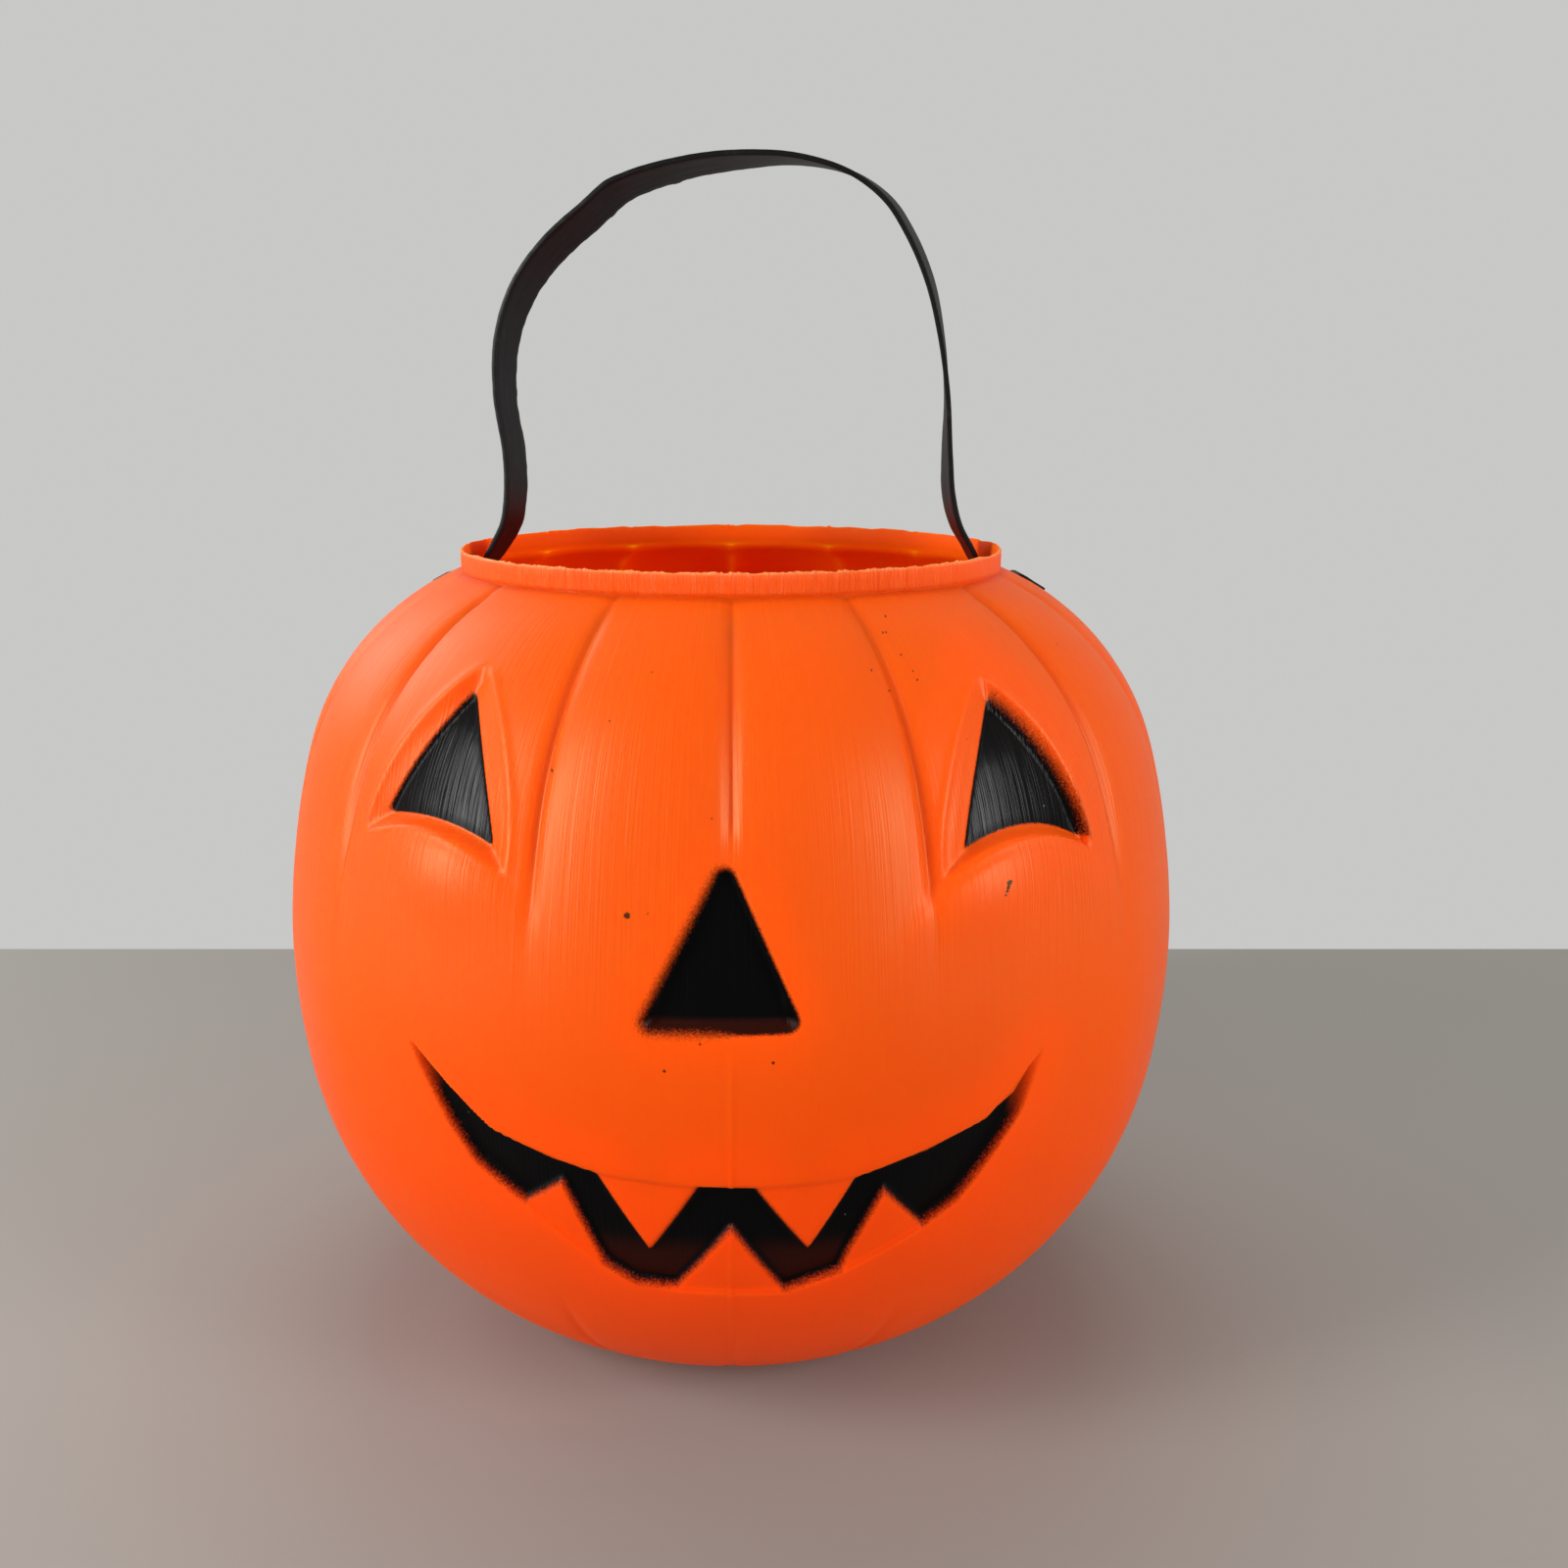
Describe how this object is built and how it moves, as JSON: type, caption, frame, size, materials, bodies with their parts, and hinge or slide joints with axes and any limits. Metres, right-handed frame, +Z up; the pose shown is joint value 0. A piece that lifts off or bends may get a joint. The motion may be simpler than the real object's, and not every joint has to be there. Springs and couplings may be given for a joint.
{
  "type": "pumpkin candy pail",
  "caption": "Hollow round pumpkin pail with a sunken black-painted jack-o'-lantern face, a short collar round its open mouth and a flexible strap handle that swings over.",
  "frame": {"origin": "middle of the base, on the pail's axis, at the height of the standing ring", "axes": "+Z up along the pail's axis, -Y towards the face, +X to the viewer's right"},
  "size_m": [0.216, 0.216, 0.276],
  "materials": {
    "orange_shell": "satin blow-moulded orange plastic",
    "black_strap": "cut strip of flexible black plastic",
    "black_paint": "sprayed black paint, satin"
  },
  "bodies": {
    "pail": {"pail_shell": "orange_shell", "left_strap_end": "black_strap", "right_strap_end": "black_strap", "left_eye_paint": "black_paint", "right_eye_paint": "black_paint", "nose_paint": "black_paint", "mouth_paint": "black_paint"},
    "handle": {"strap_loop": "black_strap"}
  },
  "joints": [
    {"name": "strap_swing", "type": "hinge", "parent": "pail", "child": "handle", "pos_m": [0, 0.005, 0.20349], "axis": [1, 0, 0], "range_deg": [-95, 95], "stiffness_Nm_per_rad": 0.03}
  ]
}
